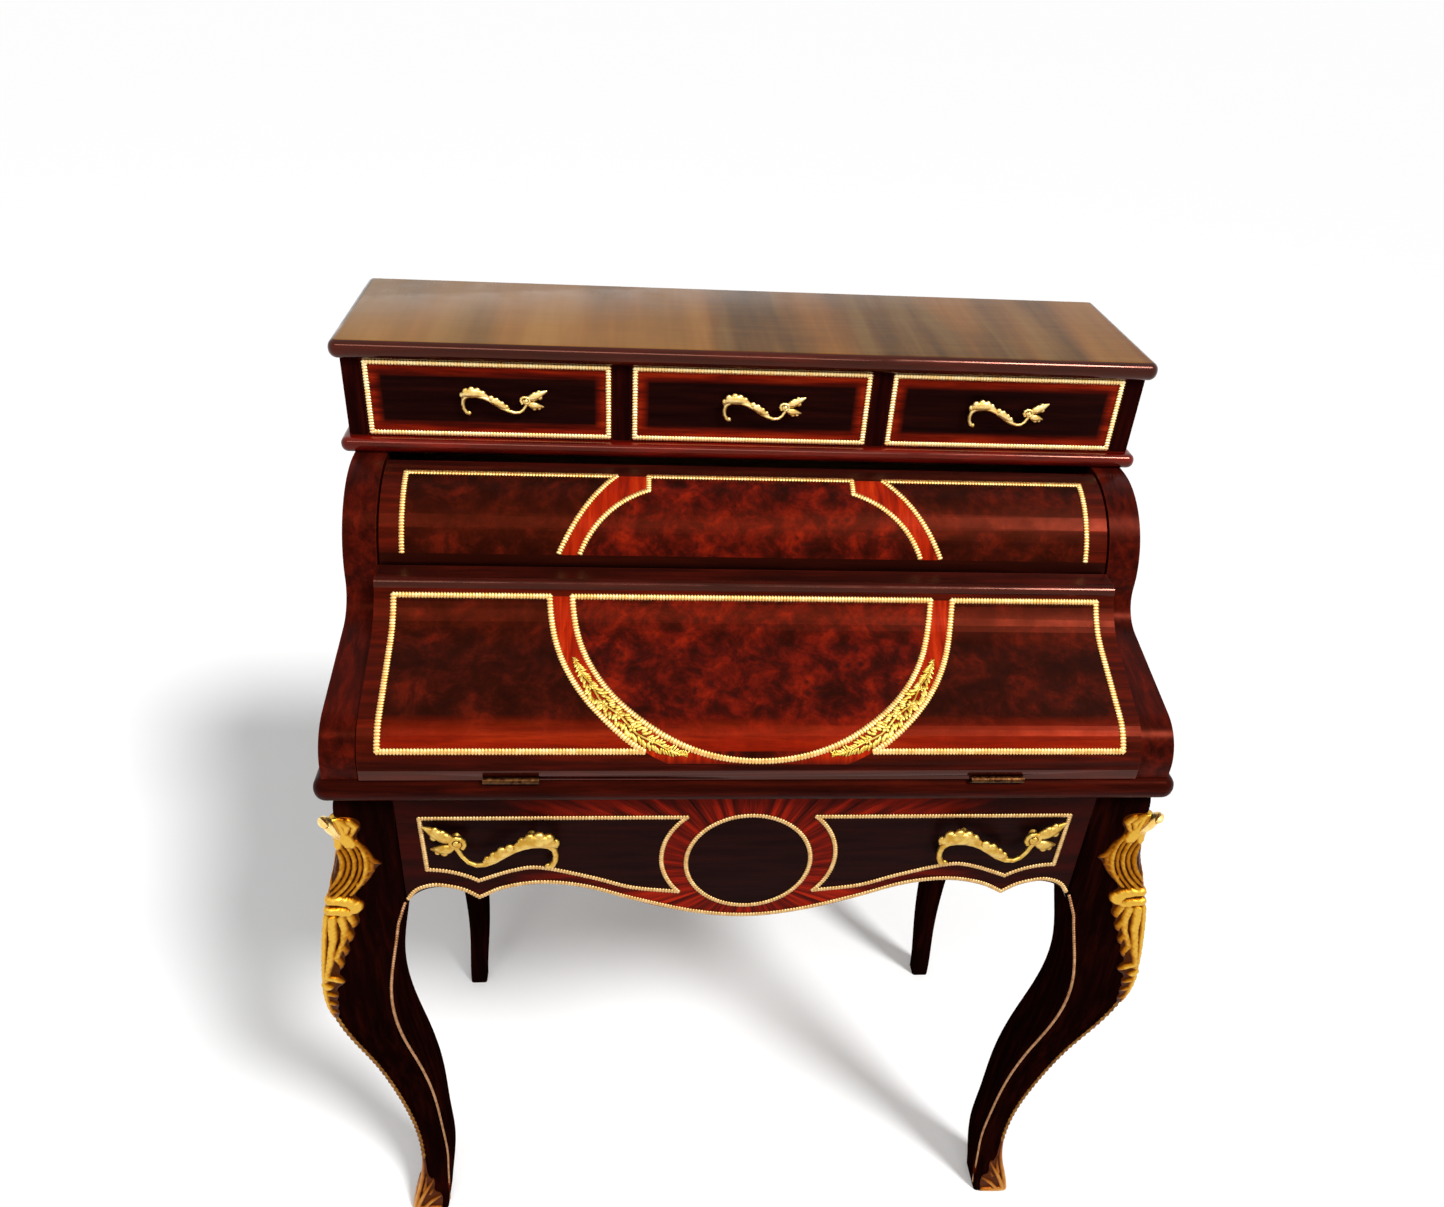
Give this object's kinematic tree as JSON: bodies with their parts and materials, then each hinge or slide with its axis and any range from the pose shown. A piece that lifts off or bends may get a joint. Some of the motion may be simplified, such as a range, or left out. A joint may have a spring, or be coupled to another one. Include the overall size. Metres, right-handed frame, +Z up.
{
  "type": "cylinder desk",
  "caption": "Writing desk on cabriole legs: small drawers over a roll-back cylinder, an S-shaped fall flap and a scalloped frieze drawer, with gilt mounts.",
  "frame": {"origin": "middle of the overall width and depth, on the floor", "axes": "+Z up, -Y towards the writer (front), +X to the right seen from the front"},
  "size_m": [0.9066, 0.5166, 1.118],
  "materials": {
    "polished_mahogany": "gloss polish",
    "burl_mahogany": "gloss polish over figured veneer",
    "plain_oak": "plain oiled",
    "gilt_bronze": "gilt, burnished",
    "hinge_brass": "plain, worn",
    "green_leather": "smooth, waxed"
  },
  "bodies": {
    "carcass": {"top_board": "polished_mahogany", "case_floor": "polished_mahogany", "case_side_left": "polished_mahogany", "case_side_right": "polished_mahogany", "case_dividers": "polished_mahogany", "cheek_left": "polished_mahogany", "cheek_right": "polished_mahogany", "desk_top": "polished_mahogany", "nest_shelf": "polished_mahogany", "nest_dividers": "polished_mahogany", "cylinder_stops": "polished_mahogany", "leg_front_left": "polished_mahogany", "leg_front_right": "polished_mahogany", "leg_rear_left": "polished_mahogany", "leg_rear_right": "polished_mahogany", "side_apron_left": "polished_mahogany", "side_apron_right": "polished_mahogany", "back_panel": "plain_oak", "back_rail": "plain_oak", "drawer_runners": "plain_oak", "knee_mount_left": "gilt_bronze", "knee_mount_right": "gilt_bronze", "sabot_left": "gilt_bronze", "sabot_right": "gilt_bronze", "leg_stringing": "gilt_bronze", "cylinder_pivots": "hinge_brass", "hinge_fixed_leaves": "hinge_brass", "hinge_pins": "hinge_brass"},
    "cylinder": {"cylinder_panel": "burl_mahogany", "cylinder_arm_left": "polished_mahogany", "cylinder_arm_right": "polished_mahogany", "cylinder_stringing": "gilt_bronze"},
    "flap": {"flap_panel": "burl_mahogany", "flap_leather": "green_leather", "flap_stringing": "gilt_bronze", "flap_mount_left": "gilt_bronze", "flap_mount_right": "gilt_bronze", "hinge_moving_leaves": "hinge_brass"},
    "drawer_left": {"drawer_left_front": "burl_mahogany", "drawer_left_sides": "plain_oak", "drawer_left_bottom": "plain_oak", "drawer_left_pull": "gilt_bronze", "drawer_left_frame": "gilt_bronze"},
    "drawer_centre": {"drawer_centre_front": "burl_mahogany", "drawer_centre_sides": "plain_oak", "drawer_centre_bottom": "plain_oak", "drawer_centre_pull": "gilt_bronze", "drawer_centre_frame": "gilt_bronze"},
    "drawer_right": {"drawer_right_front": "burl_mahogany", "drawer_right_sides": "plain_oak", "drawer_right_bottom": "plain_oak", "drawer_right_pull": "gilt_bronze", "drawer_right_frame": "gilt_bronze"},
    "frieze_drawer": {"frieze_front": "burl_mahogany", "frieze_sides": "plain_oak", "frieze_bottom": "plain_oak", "frieze_pull_left": "gilt_bronze", "frieze_pull_right": "gilt_bronze", "frieze_stringing": "gilt_bronze"}
  },
  "joints": [
    {"name": "drawer_left_slide", "type": "slide", "parent": "carcass", "child": "drawer_left", "axis": [0, -1, 0], "range_m": [0, 0.125]},
    {"name": "drawer_centre_slide", "type": "slide", "parent": "carcass", "child": "drawer_centre", "axis": [0, -1, 0], "range_m": [0, 0.125]},
    {"name": "drawer_right_slide", "type": "slide", "parent": "carcass", "child": "drawer_right", "axis": [0, -1, 0], "range_m": [0, 0.125]},
    {"name": "frieze_slide", "type": "slide", "parent": "carcass", "child": "frieze_drawer", "axis": [0, -1, 0], "range_m": [0, 0.26]},
    {"name": "cylinder_roll", "type": "hinge", "parent": "carcass", "child": "cylinder", "pos_m": [0, 0.04, 0.902], "axis": [-1, 0, 0], "range_deg": [0, 85]},
    {"name": "flap_fall", "type": "hinge", "parent": "carcass", "child": "flap", "pos_m": [0, -0.234, 0.787], "axis": [1, 0, 0], "range_deg": [0, 143]}
  ]
}
